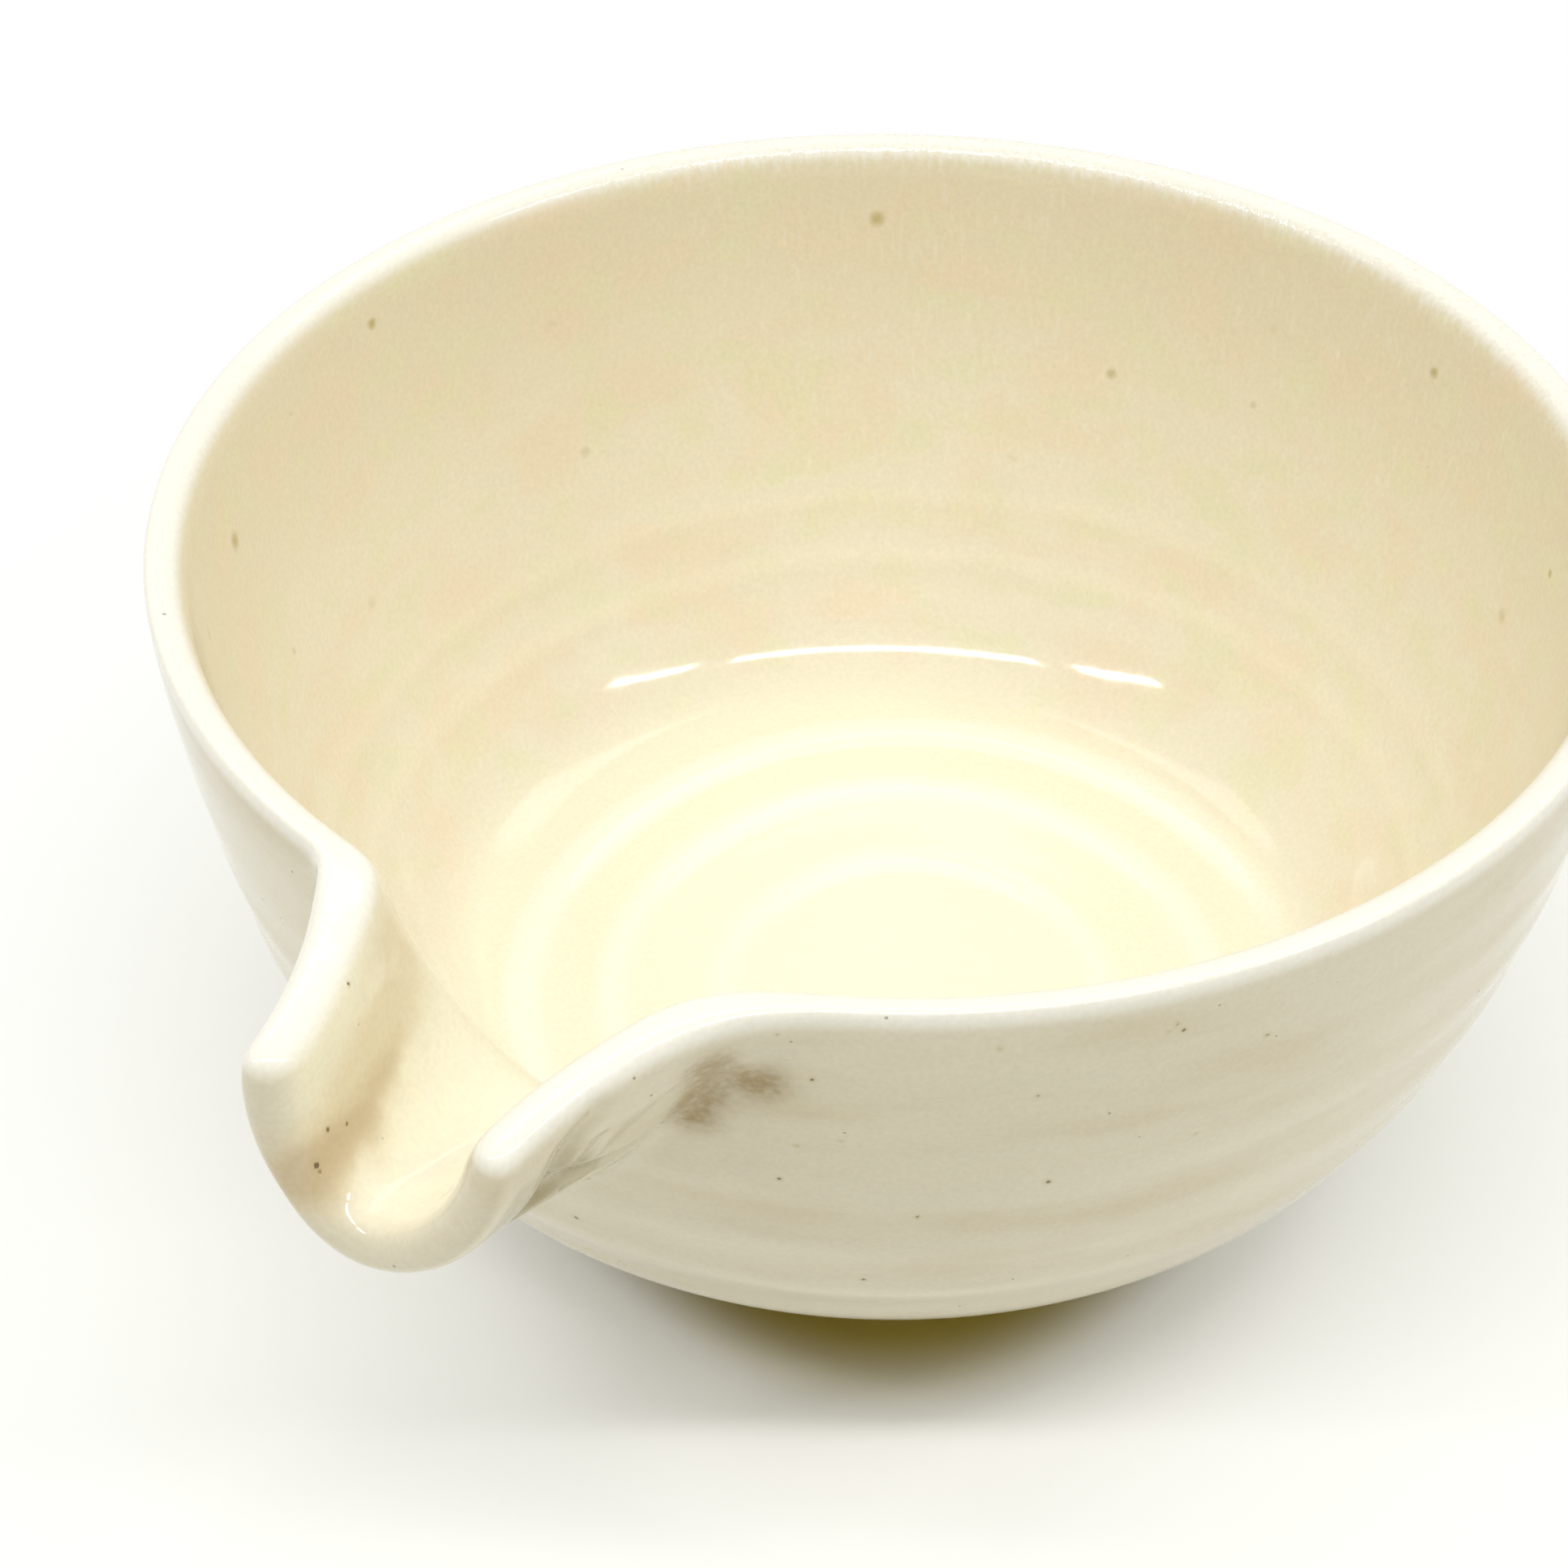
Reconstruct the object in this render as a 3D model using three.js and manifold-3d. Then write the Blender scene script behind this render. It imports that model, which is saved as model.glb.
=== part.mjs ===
// A wheel-thrown pouring bowl in cream-glazed stoneware: a round bowl with soft throwing rings,
// a foot ring under it, and an open trough spout luted over a notch cut in the rim.
// Millimetres, +Z up, table at z = 0. The spout points along -Y.
import * as THREE from "three";
import { mergeVertices } from "three/addons/utils/BufferGeometryUtils.js";
import Module from "manifold-3d";

// Thrown bowl
const rimRadius = 73; // outside, at the widest part of the lip
const bowlHeight = 71; // table to the top of the rim
const rimThickness = 4.4;
const bellyExtra = 1.2; // the wall gets this much thicker low in the belly
const floorThickness = 5.5;
const bellyFullness = 7; // higher keeps the underside flatter and the turn tighter
const bellyUprightness = 1.25; // higher draws the belly in towards the foot

// Throwing rings left by the fingers
const outerRingPitch = 9;
const outerRingDepth = 0.25;
const innerRingPitch = 9;
const innerRingDepth = 0.3;

// Foot ring
const footHeight = 5.5;
const footRadius = 30; // outside, where it meets the bowl
const footWall = 6;
const footTaper = 0.8; // each flank draws in this much towards the table
const footEdge = 0.6; // softened edges that meet the table

// Trough spout
const spoutReach = 92.5; // bowl axis to the tips of the wings
const throatHalfWidth = 15; // inside, where the trough leaves the bowl
const throatDepth = 24.5; // inside, below the rim
const throatShift = 1.2; // the throat sits this far to the right of the bowl's middle line
const lipHalfWidth = 8.6; // inside, at the pouring edge
const lipDepth = 17.8; // inside, below the rim
const lipShift = 0.5; // the wings end this far to the right of the bowl's middle line
const lipLean = 2.8; // the lowest point of the pouring edge is this far to the left of the wings' middle
const spoutWall = 4.2;
const rootShoulder = 5.8; // clay outside the throat, each side, where the spout is luted on
const rootKeel = 8.5; // clay under the throat at the same place
const wingDrop = 1.6; // the wings end this far below the rim
const luteGap = 0.3; // joint between the spout and the bowl

// How finely the round shapes are cut
const roundSteps = 60;
const wallSteps = 30;
const troughSteps = 18;
const spoutRuns = 9;
const edgeSteps = 4;

const lipRadius = rimThickness / 2;
const lipAxisRadius = rimRadius - lipRadius;
const lipAxisHeight = bowlHeight - lipRadius;
const floorHeight = footHeight + floorThickness;
const seatRadius = footRadius + 2; // flat patch that the foot ring is stuck to

// Radius of the belly at a share of its height, 0 at the bottom and 1 at the lip
function bellyRadius(share, widest) {
  const filled = 1 - Math.pow(1 - share, bellyUprightness);
  return widest * Math.pow(filled, 1 / bellyFullness);
}

// Push a wall in and out in soft waves that fade towards both ends
function throwRings(points, pitch, depth) {
  const lengths = points.map((p, i) => (i > 0 ? p.distanceTo(points[i - 1]) : 0));
  const total = lengths.reduce((sum, length) => sum + length, 0);
  let travelled = 0;
  return points.map((p, i) => {
    travelled += lengths[i];
    const before = points[Math.max(i - 1, 0)];
    const after = points[Math.min(i + 1, points.length - 1)];
    const along = after.clone().sub(before).normalize();
    const fade = Math.sin((Math.PI * travelled) / total);
    const wave = depth * fade * Math.cos((2 * Math.PI * travelled) / pitch);
    return new THREE.Vector2(p.x + along.y * wave, p.y - along.x * wave);
  });
}

// From the seat up to the lip
function outerWall() {
  const seatFill = Math.pow(seatRadius / rimRadius, bellyFullness);
  const seatShare = 1 - Math.pow(1 - seatFill, 1 / bellyUprightness);
  const points = [];
  for (let i = 0; i <= wallSteps; i++) {
    const share = seatShare + (1 - seatShare) * Math.pow(i / wallSteps, 1.6);
    const z = footHeight + (lipAxisHeight - footHeight) * share;
    points.push(new THREE.Vector2(bellyRadius(share, rimRadius), z));
  }
  return throwRings(points, outerRingPitch, outerRingDepth);
}

// From the lip down to the middle of the floor
function innerWall() {
  const points = [];
  for (let i = wallSteps; i >= 0; i--) {
    const share = Math.pow(i / wallSteps, 2.2);
    const z = floorHeight + (lipAxisHeight - floorHeight) * share;
    const thicker = bellyExtra * (1 - share);
    const radius = bellyRadius(share, rimRadius - rimThickness);
    points.push(new THREE.Vector2(radius * (1 - thicker / rimRadius), z));
  }
  const waved = throwRings(points, innerRingPitch, innerRingDepth);
  waved[waved.length - 1] = new THREE.Vector2(0, floorHeight);
  return waved;
}

function lathe(points) {
  return new THREE.LatheGeometry(points, roundSteps).rotateX(Math.PI / 2);
}

function bowlGeometry() {
  const lip = [];
  for (let i = 1; i < 6; i++) {
    const turn = (Math.PI * i) / 6;
    const x = lipAxisRadius + lipRadius * Math.cos(turn);
    lip.push(new THREE.Vector2(x, lipAxisHeight + lipRadius * Math.sin(turn)));
  }
  const middle = new THREE.Vector2(0, footHeight);
  return lathe([middle, ...outerWall(), ...lip, ...innerWall()]);
}

// Rings of equally many points joined into one closed skin
function loft(rings) {
  const count = rings[0].length;
  const faces = [];
  for (let r = 0; r + 1 < rings.length; r++) {
    for (let i = 0; i < count; i++) {
      const next = (i + 1) % count;
      const [a, b] = [r * count + i, r * count + next];
      faces.push(a, b, b + count, a, b + count, a + count);
    }
  }
  const last = (rings.length - 1) * count;
  for (const [a, b, c] of capFaces(rings[0])) faces.push(a, c, b);
  for (const [a, b, c] of capFaces(rings.at(-1))) faces.push(last + a, last + b, last + c);
  const geometry = new THREE.BufferGeometry();
  const positions = rings.flat().flatMap((p) => p.toArray());
  geometry.setAttribute("position", new THREE.Float32BufferAttribute(positions, 3));
  geometry.setIndex(faces);
  return geometry;
}

function capFaces(ring) {
  const flat = ring.map((p) => new THREE.Vector2(p.x, p.z));
  const faces = THREE.ShapeUtils.triangulateShape(flat, []);
  const first = faces[0].map((i) => flat[i]);
  const sameTurn = THREE.ShapeUtils.area(first) < 0 === THREE.ShapeUtils.area(flat) < 0;
  return sameTurn ? faces : faces.map(([a, b, c]) => [a, c, b]);
}

const mix = (from, to, share) => from + (to - from) * share;

// Sizes of the trough at a distance from the bowl's axis
function troughAt(reach) {
  const root = rimRadius - rimThickness;
  const share = THREE.MathUtils.clamp((reach - root) / (spoutReach - root), 0, 1);
  const narrowing = Math.sin((Math.PI / 2) * share);
  const thinning = Math.pow(1 - share, 1.7);
  const inside = {
    halfWidth: mix(throatHalfWidth, lipHalfWidth, narrowing),
    depth: mix(throatDepth, lipDepth - wingDrop, share),
    squareness: 2,
  };
  const outside = {
    halfWidth: inside.halfWidth + mix(spoutWall, rootShoulder, thinning),
    depth: inside.depth + mix(spoutWall, rootKeel, thinning),
    squareness: mix(2.1, 1.2, 1 - share),
  };
  const shift = mix(throatShift, lipShift, share);
  return { reach, inside, outside, shift, lean: lipLean * share, top: bowlHeight - wingDrop * share };
}

// One face of the trough from its right side down and up to its left, moved in by trim
function troughFace(at, face, trim) {
  const points = [];
  for (let i = 0; i <= troughSteps; i++) {
    const turn = (Math.PI * i) / troughSteps;
    const power = 2 / face.squareness;
    const across = Math.sign(Math.cos(turn)) * Math.pow(Math.abs(Math.cos(turn)), power);
    const down = Math.pow(Math.sin(turn), power);
    const x = at.shift - at.lean * down + across * (face.halfWidth + trim);
    const z = at.top - lipRadius - down * (face.depth - lipRadius + trim) - Math.abs(trim) * (1 - down);
    points.push(new THREE.Vector3(x, -at.reach, z));
  }
  return points;
}

// Rounded top of a wing, from one of its faces over to the other
function wingTop(from, to) {
  const middle = from.clone().lerp(to, 0.5);
  const half = to.clone().sub(from).multiplyScalar(0.5);
  const points = [];
  for (let i = 1; i < 5; i++) {
    const turn = (Math.PI * i) / 5;
    const point = middle.clone().addScaledVector(half, -Math.cos(turn));
    point.z += Math.min(lipRadius, half.length()) * Math.sin(turn);
    points.push(point);
  }
  return points;
}

function troughRing(reach, trim) {
  const at = troughAt(reach);
  const inside = troughFace(at, at.inside, trim);
  const outside = troughFace(at, at.outside, -trim).reverse();
  const left = wingTop(inside.at(-1), outside[0]);
  const right = wingTop(outside.at(-1), inside[0]);
  return [...inside, ...left, ...outside, ...right];
}

function spoutGeometry() {
  const start = rimRadius - 20;
  const edge = spoutWall / 2;
  const rings = [];
  for (let i = 0; i <= spoutRuns; i++) {
    rings.push(troughRing(mix(start, spoutReach - edge, i / spoutRuns), 0));
  }
  for (let i = 1; i <= edgeSteps; i++) {
    const turn = ((Math.PI / 2) * i) / (edgeSteps + 0.7);
    rings.push(troughRing(spoutReach - edge + edge * Math.sin(turn), edge * (1 - Math.cos(turn))));
  }
  return loft(rings);
}

// The channel that is cut through the bowl's wall, open at the top
function notchGeometry() {
  const rings = [];
  for (const reach of [rimRadius - 20, rimRadius - rimThickness, rimRadius + 10]) {
    const at = troughAt(reach);
    const channel = troughFace(at, at.inside, 0).reverse();
    const left = channel[0].clone().setZ(bowlHeight + 5);
    const right = channel.at(-1).clone().setZ(bowlHeight + 5);
    rings.push([...channel, right, left]);
  }
  return loft(rings);
}

// The bowl's outer face with the joint added, filled right up, so that the spout ends against it
function bowlSpace() {
  const grown = outerWall().map((p) => new THREE.Vector2(p.x + luteGap, p.y));
  for (let i = 1; i < 4; i++) {
    const turn = (Math.PI / 12) * i;
    const x = lipAxisRadius + (lipRadius + luteGap) * Math.cos(turn);
    grown.push(new THREE.Vector2(x, lipAxisHeight + (lipRadius + luteGap) * Math.sin(turn)));
  }
  const top = bowlHeight + 5;
  grown.push(new THREE.Vector2(grown.at(-1).x, top), new THREE.Vector2(0, top));
  return lathe([new THREE.Vector2(0, footHeight), ...grown]);
}

function footGeometry() {
  const inner = footRadius - footWall;
  return lathe([
    new THREE.Vector2(inner, footHeight),
    new THREE.Vector2(inner + footTaper, footEdge),
    new THREE.Vector2(inner + footTaper + footEdge, 0),
    new THREE.Vector2(footRadius - footTaper - footEdge, 0),
    new THREE.Vector2(footRadius - footTaper, footEdge),
    new THREE.Vector2(footRadius, footHeight),
    new THREE.Vector2(inner, footHeight),
  ]);
}

const wasm = await Module();
wasm.setup();

function solid(geometry) {
  geometry.deleteAttribute("normal");
  geometry.deleteAttribute("uv");
  const merged = mergeVertices(geometry, 1e-4);
  const vertProperties = new Float32Array(merged.attributes.position.array);
  const triVerts = new Uint32Array(merged.index.array);
  return new wasm.Manifold(new wasm.Mesh({ numProp: 3, vertProperties, triVerts }));
}

function geometryOf(body) {
  const mesh = body.getMesh();
  const geometry = new THREE.BufferGeometry();
  geometry.setAttribute("position", new THREE.BufferAttribute(new Float32Array(mesh.vertProperties), 3));
  geometry.setIndex(new THREE.BufferAttribute(new Uint32Array(mesh.triVerts), 1));
  geometry.computeVertexNormals();
  return geometry;
}

const glaze = new THREE.MeshStandardMaterial({ color: 0xe9dfc4, roughness: 0.22, metalness: 0 });
const bareClay = new THREE.MeshStandardMaterial({ color: 0xcdb894, roughness: 0.85, metalness: 0 });

const pouringBowl = new THREE.Group();

function add(name, body, material) {
  const mesh = new THREE.Mesh(geometryOf(body), material);
  mesh.name = name;
  pouringBowl.add(mesh);
}

add("bowl", solid(bowlGeometry()).subtract(solid(notchGeometry())), glaze);
add("spout", solid(spoutGeometry()).subtract(solid(bowlSpace())), glaze);
add("foot_ring", solid(footGeometry()), bareClay);

// The origin is the middle of the whole footprint, spout included, on the table
pouringBowl.position.y = (spoutReach - rimRadius) / 2;

export default pouringBowl;
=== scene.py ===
# A wheel-thrown pouring bowl in cream-glazed stoneware, on a pale table under studio light.
# Shapes are worked out in millimetres and put into the frame's metres at the end.
import math

import bmesh
import bpy
import numpy as np
from mathutils import Matrix, Vector


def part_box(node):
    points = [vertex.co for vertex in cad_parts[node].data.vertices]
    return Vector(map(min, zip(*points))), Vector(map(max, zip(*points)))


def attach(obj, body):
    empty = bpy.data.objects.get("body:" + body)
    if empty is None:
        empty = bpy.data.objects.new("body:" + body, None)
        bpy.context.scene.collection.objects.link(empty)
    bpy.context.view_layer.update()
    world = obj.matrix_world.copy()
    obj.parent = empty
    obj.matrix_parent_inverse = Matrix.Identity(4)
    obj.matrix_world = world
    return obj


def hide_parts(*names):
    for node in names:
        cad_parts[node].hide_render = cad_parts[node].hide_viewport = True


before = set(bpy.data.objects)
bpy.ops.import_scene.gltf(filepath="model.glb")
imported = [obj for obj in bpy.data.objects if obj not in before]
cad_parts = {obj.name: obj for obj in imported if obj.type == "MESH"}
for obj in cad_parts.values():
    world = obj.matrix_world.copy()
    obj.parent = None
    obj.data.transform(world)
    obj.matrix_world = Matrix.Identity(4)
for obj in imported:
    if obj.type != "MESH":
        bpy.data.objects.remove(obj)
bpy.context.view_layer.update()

mm = 0.001


def toLinear(hexColour):
    channels = [int(hexColour[i:i + 2], 16) / 255 for i in (1, 3, 5)]
    linear = [c / 12.92 if c <= 0.04045 else ((c + 0.055) / 1.055) ** 2.4 for c in channels]
    return (*linear, 1.0)


def addNode(tree, kind, settings=None, links=None):
    # settings holds node properties and socket values, and links holds what plugs into each socket:
    # an output, or a node, which stands for its first output
    node = tree.nodes.new(kind)
    for name, value in (settings or {}).items():
        if isinstance(name, str) and hasattr(node, name):
            setattr(node, name, value)
        else:
            node.inputs[name].default_value = value
    for name, source in (links or {}).items():
        output = source.outputs[0] if isinstance(source, bpy.types.Node) else source
        tree.links.new(output, node.inputs[name])
    return node


def mix(low, high, share):
    return low + (high - low) * share


def rise(value, low, high):
    share = np.clip((value - low) / (high - low), 0, 1)
    return share * share * (3 - 2 * share)


# Two surfaces meet in a rounded edge: the larger value with its corner filled over a width
def roundedMax(a, b, width):
    near = np.maximum(width - np.abs(a - b), 0) / width
    return np.maximum(a, b) + near ** 3 * width / 6


def roundedMin(a, b, width):
    return -roundedMax(-a, -b, width)


# Sizes come from the frame's boxes, and the rest is set here in millimetres
bowlBox = [[c / mm for c in corner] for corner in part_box("bowl")]
spoutBox = [[c / mm for c in corner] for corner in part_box("spout")]
footBox = [[c / mm for c in corner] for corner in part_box("foot_ring")]
axisY = (footBox[0][1] + footBox[1][1]) / 2

bowl = {
    "radius": bowlBox[1][0],
    "height": bowlBox[1][2],
    "seat": footBox[1][2],
    "rimThickness": 4.4,
    "floorThickness": 5.5,
    "bellyExtra": 1.2,  # how much thicker the wall gets on its way down
    "fullness": 7,
    "insideFullness": 6.0,
    "uprightness": 1.25,
    "outsideInset": 0.1,
    "profileSteps": 3000,
    "sideways": (36, 46),  # past these radii the distance is taken sideways
    "sidewaysAbove": 2,
    "rimOutside": 1.3,
    "rimInside": 5.3,
    "fingerRidges": (  # height, strength
        (63.6, 0.3), (55.7, 0.35), (47.0, 0.7), (37.0, 1.0), (28.2, 1.0), (19.5, 0.7),
    ),
    "ridgeHeight": 0.5,
    "ridgeWidth": 3.1,
    "ridgeWander": ((1, 0.8, 0.7), (3, 2.1, 0.3)),  # waves round the bowl, where they start, millimetres
    "ridgeFading": (2, -0.6, 0.3),  # waves, start, share of the height that comes and goes
    "ridgeTwist": 9,
    "floorRings": ((20.4, 0.7), (32.4, 0.9), (42.0, 1.3)),  # radius, strength
    "floorRingShift": (5.7, 4.3),
    "floorRingWander": ((3, 0.0, 0.3),),
    "floorRingEnd": (41, 46),
    "floorRingHeight": 0.4,
    "floorRingWidth": 2.1,
    "floorDish": 1.0,  # how far the floor has risen at floorDishAt
    "floorDishAt": 45,
    "insideBottom": 8.5,
    "turn": 4.0,
    "wallRings": ((18.5, 0.4), (23.5, 0.8), (30.0, 0.7)),  # height, strength
    "wallRingWander": ((1, 2.4, 0.8), (2, 0.0, 0.5)),
    "wallRingStart": (44, 49),
    "wallRingHeight": 0.22,
    "wallRingWidth": 1.7,
}

spout = {
    "reach": axisY - spoutBox[0][1],
    "throatHalfWidth": 14.0,
    "throatDepth": 22.0,
    "throatSquareness": 1.3,
    "lipSquareness": 2.0,
    "outsideSquareness": (1.95, 1.2),  # at the lip and at the root
    "throatShift": 1.2,
    "lipHalfWidth": 7.6,
    "lipDepth": 16.8,
    "lipShift": 0.5,
    "lipLean": 3.1,
    "wall": 5.3,
    "rootShoulder": 6.8,
    "rootKeel": 11.0,
    "rootFading": 1.7,
    "keelStart": 50,
    "channelStart": 40,
    "wingDrop": 1.6,
    "wingBlend": 10,
    "wingOutside": 3.6,
    "wingInside": 7.5,
    "lipRounding": 3.6,
    "sideBlend": (-6, 6),
    "highBlend": (58, 69),
    "leftCorner": 3.0,
    "rightCorner": 9.0,
    "lowCorner": 2.2,
    "leftThroat": 6.0,
    "rightThroat": 12.0,
    "lowThroat": 8.0,
    "creaseBox": ((4, -90, 44), (90, -54, 70)),
    "creaseFading": 0.8,
    "creases": (  # path, depth at its start, width
        (
            ((9.5, -73.9, 54.9), (10.9, -73.9, 58), (12.5, -74.2, 61.5), (13.9, -74, 64.5),
             (15.4, -72, 66.8)),
            1.9, 1.5,
        ),
        (
            ((11.8, -72.4, 57.4), (13, -71, 58.9), (14.5, -70.5, 62.1)),
            1.1, 0.9,
        ),
        (
            ((9.6, -73, 54.6), (11.6, -72, 56.6), (11.8, -69, 55), (11.8, -65.5, 53.6), (13.4, -61.2, 53.7)),
            2.0, 1.6,
        ),
    ),
}

lipHeight = bowl["height"] - bowl["rimThickness"] / 2
floorHeight = bowl["seat"] + bowl["floorThickness"]
root = bowl["radius"] - bowl["rimThickness"]


def bellyProfile(bottom, widest, thicker, fullness):
    share = np.linspace(0, 1, bowl["profileSteps"]) ** 4  # steps crowd together at the bottom
    filled = 1 - (1 - share) ** bowl["uprightness"]
    radii = widest * filled ** (1 / fullness) * (1 - thicker * (1 - share) / bowl["radius"])
    return radii, bottom + (lipHeight - bottom) * share


outsideProfile = bellyProfile(bowl["seat"], bowl["radius"] - bowl["outsideInset"], 0, bowl["fullness"])
insideProfile = bellyProfile(bowl["insideBottom"], root, bowl["bellyExtra"], bowl["insideFullness"])


# Beyond the turn of the belly the distance is taken sideways, and under it up and down
def profileDistance(radius, z, profile):
    radii, heights = profile
    step = 0.1

    def across(height):
        return np.interp(height, heights, radii)

    def under(reach):
        return np.interp(reach, radii, heights)

    wallSlope = (across(z + step) - across(z - step)) / (2 * step)
    floorSlope = (under(radius + step) - under(radius - step)) / (2 * step)
    wall = (radius - across(z)) / np.sqrt(1 + wallSlope ** 2)
    floor = (under(radius) - z) / np.sqrt(1 + floorSlope ** 2)
    sideways = rise(radius, *bowl["sideways"]) * rise(z, heights[0], heights[0] + bowl["sidewaysAbove"])
    return mix(floor, wall, sideways)


def ringsAt(reach, places, width):
    return sum(much * np.exp(-((reach - at) / width) ** 2) for at, much in places)


# No thrown ring is quite level or quite round
def wander(angle, waves):
    return sum(size * np.sin(count * angle + start) for count, start, size in waves)


def outsideRings(angle, z):
    ridges = ringsAt(z + wander(angle, bowl["ridgeWander"]), bowl["fingerRidges"], bowl["ridgeWidth"])
    waves, start, share = bowl["ridgeFading"]
    uneven = 1 - share + share * np.sin(waves * angle + start + z / bowl["ridgeTwist"])
    return bowl["ridgeHeight"] * (ridges * uneven - 1)


# The finger's slow spiral over the floor, seen as rings off the middle, and softer rings above the turn
def insideRings(x, s, z):
    radius, angle = np.hypot(x, s), np.arctan2(x, s)
    shiftX, shiftS = bowl["floorRingShift"]
    reach = np.hypot(x - shiftX, s - shiftS) + wander(angle, bowl["floorRingWander"])
    floor = ringsAt(reach, bowl["floorRings"], bowl["floorRingWidth"])
    floor = floor * (1 - rise(radius, *bowl["floorRingEnd"]))
    height = z + wander(angle, bowl["wallRingWander"])
    wall = ringsAt(height, bowl["wallRings"], bowl["wallRingWidth"]) * rise(radius, *bowl["wallRingStart"])
    return bowl["floorRingHeight"] * floor + bowl["wallRingHeight"] * wall


# The trough's two faces, its shift and lean and its top edge, at a distance s from the bowl's axis
def troughAt(s):
    share = np.clip((s - root) / (spout["reach"] - root), 0, 1)
    narrowing = np.sin(math.pi / 2 * share)
    thinning = (1 - share) ** spout["rootFading"]
    inside = {
        "halfWidth": mix(spout["throatHalfWidth"], spout["lipHalfWidth"], narrowing),
        "depth": mix(spout["throatDepth"], spout["lipDepth"] - spout["wingDrop"], share),
        "squareness": mix(spout["lipSquareness"], spout["throatSquareness"], 1 - share),
    }
    outside = {
        "halfWidth": inside["halfWidth"] + mix(spout["wall"], spout["rootShoulder"], thinning),
        "depth": inside["depth"] + mix(spout["wall"], spout["rootKeel"], thinning),
        "squareness": mix(*spout["outsideSquareness"], 1 - share),
    }
    shift = mix(spout["throatShift"], spout["lipShift"], share)
    return inside, outside, shift, spout["lipLean"] * share, bowl["height"] - spout["wingDrop"] * share


def troughDistance(x, z, face, shift, lean, top):
    depth = face["depth"] - bowl["rimThickness"] / 2
    down = np.clip((top - bowl["rimThickness"] / 2 - z) / depth, 0, 2)
    across = np.abs(x - shift + lean * np.minimum(down, 1)) / face["halfWidth"]
    power = face["squareness"]
    size = np.maximum((across ** power + down ** power) ** (1 / power), 1e-3)
    slopeX = (across / size) ** (power - 1) / face["halfWidth"]
    slopeZ = (down / size) ** (power - 1) / depth
    return (size - 1) / np.sqrt(slopeX ** 2 + slopeZ ** 2)


# Distance from a path of straight runs, and how far along it the nearest point lies
def alongPath(points, path):
    path = np.array(path, float)
    nearest, share = np.full(len(points), 1e3), np.zeros(len(points))
    for number, (start, end) in enumerate(zip(path[:-1], path[1:])):
        run = end - start
        part = np.clip((points - start) @ run / (run @ run), 0, 1)
        away = np.linalg.norm(points - start - part[:, None] * run, axis=1)
        share = np.where(away < nearest, (number + part) / (len(path) - 1), share)
        nearest = np.minimum(nearest, away)
    return nearest, share


# Drag marks fanning out from where the spout's right side was smoothed down onto the bowl
def creases(points, spread=1.0):
    cut = np.zeros(len(points))
    low, high = spout["creaseBox"]
    near = ((points > low) & (points < high)).all(axis=1)
    for path, depth, width in spout["creases"]:
        away, share = alongPath(points[near], path)
        cut[near] += depth * (1 - spout["creaseFading"] * share) * np.exp(-(away / width / spread) ** 2)
    return cut


# The outside and the hollow of the bowl and its spout, each below 0 on its own inner side
def clayParts(points):
    x, s, z = points[:, 0], axisY - points[:, 1], points[:, 2]
    radius = np.hypot(x, s)
    angle = np.arctan2(x, s)
    side = rise(x, *spout["sideBlend"])
    inside, outside, shift, lean, top = troughAt(s)
    wallOut = profileDistance(radius, z, outsideProfile) - outsideRings(angle, z)
    floor = floorHeight + bowl["floorDish"] * (radius / bowl["floorDishAt"]) ** 2 - z
    wallIn = roundedMax(profileDistance(radius, z, insideProfile), floor, bowl["turn"]) + insideRings(x, s, z)
    keel = troughDistance(x, z, outside, shift, lean, top)
    keel = roundedMax(keel, s - spout["reach"], spout["lipRounding"])
    keel = np.maximum(keel, spout["keelStart"] - s)
    channel = troughDistance(x, z, inside, shift, lean, top)
    channel = np.maximum(channel, spout["channelStart"] - s)
    high = rise(z, *spout["highBlend"])
    corner = mix(spout["lowCorner"], mix(spout["leftCorner"], spout["rightCorner"], side), high)
    throat = mix(spout["lowThroat"], mix(spout["leftThroat"], spout["rightThroat"], side), high)
    return roundedMin(wallOut, keel, corner) + creases(points), roundedMin(wallIn, channel, throat), top


# Below 0 in the clay, above 0 outside it, and close to millimetres near the surface
def clay(points):
    body, hollow, top = clayParts(points)
    wing = rise(axisY - points[:, 1], root, root + spout["wingBlend"])
    body = roundedMax(body, points[:, 2] - top, mix(bowl["rimOutside"], spout["wingOutside"], wing))
    return roundedMax(body, -hollow, mix(bowl["rimInside"], spout["wingInside"], wing))


def slopeOf(points):
    step = 0.03
    slopes = np.empty_like(points)
    for axis in range(3):
        move = np.zeros(3)
        move[axis] = step
        slopes[:, axis] = (clay(points + move) - clay(points - move)) / (2 * step)
    return slopes


# Moves points along the slope until they lie on the surface
def settle(points, rounds):
    longest, flattest = 1.5, 0.05
    for _ in range(rounds):
        slopes = slopeOf(points)
        steps = clay(points) / np.maximum((slopes ** 2).sum(axis=1), flattest)
        points = points - slopes * np.clip(steps, -longest, longest)[:, None]
    return points


# Slides points over the surface towards the middle of their neighbours
def evened(points, pairs, rounds):
    share, longest = 0.6, 1
    ends, others = np.concatenate([pairs, pairs[:, ::-1]]).T
    counts = np.bincount(ends, minlength=len(points))
    for _ in range(rounds):
        slopes = slopeOf(points)
        slopes /= np.linalg.norm(slopes, axis=1)[:, None]
        middles = [np.bincount(ends, weights=points[others, axis], minlength=len(points))
                   for axis in range(3)]
        moves = np.stack(middles, axis=1) / counts[:, None] - points
        moves -= slopes * (moves * slopes).sum(axis=1)[:, None]
        points = points + share * moves
        points = points - slopes * np.clip(clay(points), -longest, longest)[:, None]
    return points


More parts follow.
